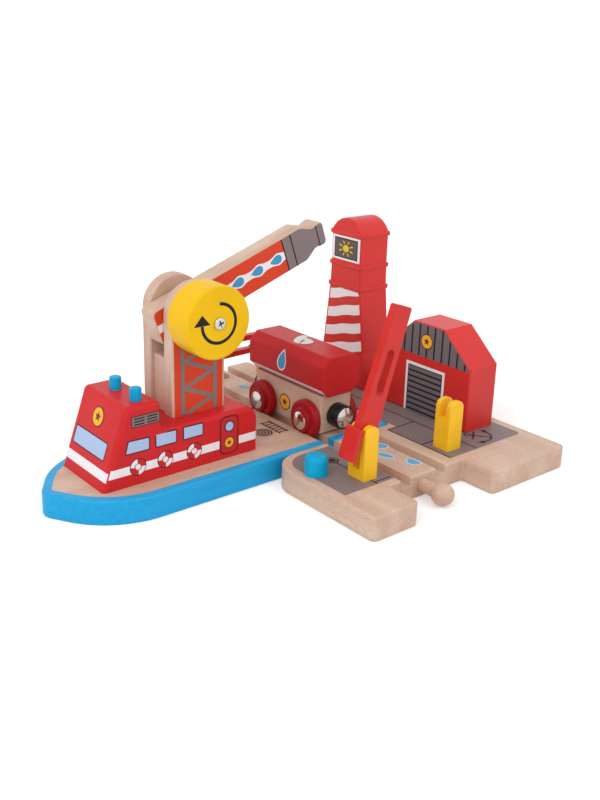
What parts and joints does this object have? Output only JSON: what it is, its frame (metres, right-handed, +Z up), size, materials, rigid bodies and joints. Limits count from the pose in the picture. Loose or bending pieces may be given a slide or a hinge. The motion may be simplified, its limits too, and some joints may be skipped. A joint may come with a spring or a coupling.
{
  "type": "toy fire station",
  "caption": "Wooden toy fire station for a railway: boards with track, fire boat with a turning water cannon, station, lighthouse, crossing barriers and a tank wagon.",
  "frame": {"origin": "centre of the whole toy's box, on the table under the boards", "axes": "+X across the track from the boat's bow to the buildings, +Y along the track away from the barrier end with the peg, +Z up"},
  "size_m": [0.259, 0.22, 0.1291],
  "materials": {
    "beech": "sanded beech, clear satin lacquer",
    "red_lacquer": "beech painted red, semi-gloss",
    "orange_red_lacquer": "beech with a printed orange-red face",
    "yellow_lacquer": "beech painted yellow, gloss",
    "blue_lacquer": "beech painted blue, gloss",
    "dark_red_lacquer": "turned wood painted dark red, gloss",
    "yellow_plastic": "moulded ABS, gloss",
    "red_plastic": "moulded ABS, gloss",
    "blue_plastic": "moulded ABS, gloss",
    "black_plastic": "moulded plastic, satin",
    "plated_steel": "nickel plated, polished",
    "bright_steel": "drawn steel, zinc plated"
  },
  "bodies": {
    "root": {"station_board": "beech", "station_peg": "beech", "station_building": "red_lacquer", "lighthouse": "red_lacquer", "station_screws": "bright_steel", "boat_board": "beech", "boat_peg": "beech", "cabin_block": "red_lacquer", "cabin_screws": "bright_steel", "tower_front_cheek": "beech", "tower_filler": "beech", "tower_rear_cheek": "beech", "tower_dowels": "beech", "button_spring": "bright_steel", "button_retainer": "black_plastic", "beacon_1": "blue_lacquer", "beacon_2": "blue_lacquer", "front_pivot_post": "yellow_plastic", "front_rest_post": "yellow_plastic", "rear_pivot_post": "yellow_plastic", "rear_rest_post": "yellow_plastic"},
    "cannon": {"water_cannon": "beech", "cannon_shaft": "beech", "knob": "yellow_lacquer", "knob_screw": "bright_steel"},
    "front_barrier": {"front_barrier_arm": "red_plastic"},
    "rear_barrier": {"rear_barrier_arm": "red_plastic"},
    "button": {"button_cap": "blue_plastic"},
    "wagon": {"wagon_chassis": "beech", "tank": "red_lacquer", "tank_screws": "bright_steel", "hatch_tack": "plated_steel", "front_coupling_housing": "black_plastic", "rear_coupling_housing": "black_plastic", "front_coupling_magnet": "plated_steel", "rear_coupling_magnet": "plated_steel"},
    "front_wheelset": {"front_axle": "bright_steel", "front_hub_caps": "plated_steel", "front_left_wheel": "dark_red_lacquer", "front_right_wheel": "dark_red_lacquer"},
    "rear_wheelset": {"rear_axle": "bright_steel", "rear_hub_caps": "plated_steel", "rear_left_wheel": "dark_red_lacquer", "rear_right_wheel": "dark_red_lacquer"}
  },
  "joints": [
    {"name": "cannon_turn", "type": "hinge", "parent": "root", "child": "cannon", "pos_m": [-0.0446, 0.0108, 0.0914], "axis": [0, 1, 0], "range_deg": [-183, 32]},
    {"name": "front_barrier_swing", "type": "hinge", "parent": "root", "child": "front_barrier", "pos_m": [0.0095, -0.0719, 0.0376], "axis": [0, 1, 0], "range_deg": [-18, 71.4]},
    {"name": "rear_barrier_swing", "type": "hinge", "parent": "root", "child": "rear_barrier", "pos_m": [0.0095, 0.0812, 0.0376], "axis": [0, 1, 0], "range_deg": [-89, 0]},
    {"name": "button_press", "type": "slide", "parent": "root", "child": "button", "axis": [0, 0, -1], "range_m": [0, 0.0025], "stiffness_N_per_m": 400, "springref_m": -0.002, "deforming": ["button_spring"]},
    {"name": "wagon_roll", "type": "slide", "parent": "root", "child": "wagon", "axis": [0, 1, 0], "range_m": [-0.045, 0.025]},
    {"name": "front_axle_turn", "type": "hinge", "parent": "wagon", "child": "front_wheelset", "pos_m": [0.0378, -0.0087, 0.0206], "axis": [1, 0, 0], "range_deg": [-150, 260]},
    {"name": "rear_axle_turn", "type": "hinge", "parent": "wagon", "child": "rear_wheelset", "pos_m": [0.0378, 0.0313, 0.0206], "axis": [1, 0, 0], "range_deg": [-150, 260]}
  ],
  "couplings": [
    {"joint": "front_axle_turn", "follows": "wagon_roll", "rad_per_m": -87.7},
    {"joint": "rear_axle_turn", "follows": "wagon_roll", "rad_per_m": -87.7}
  ]
}
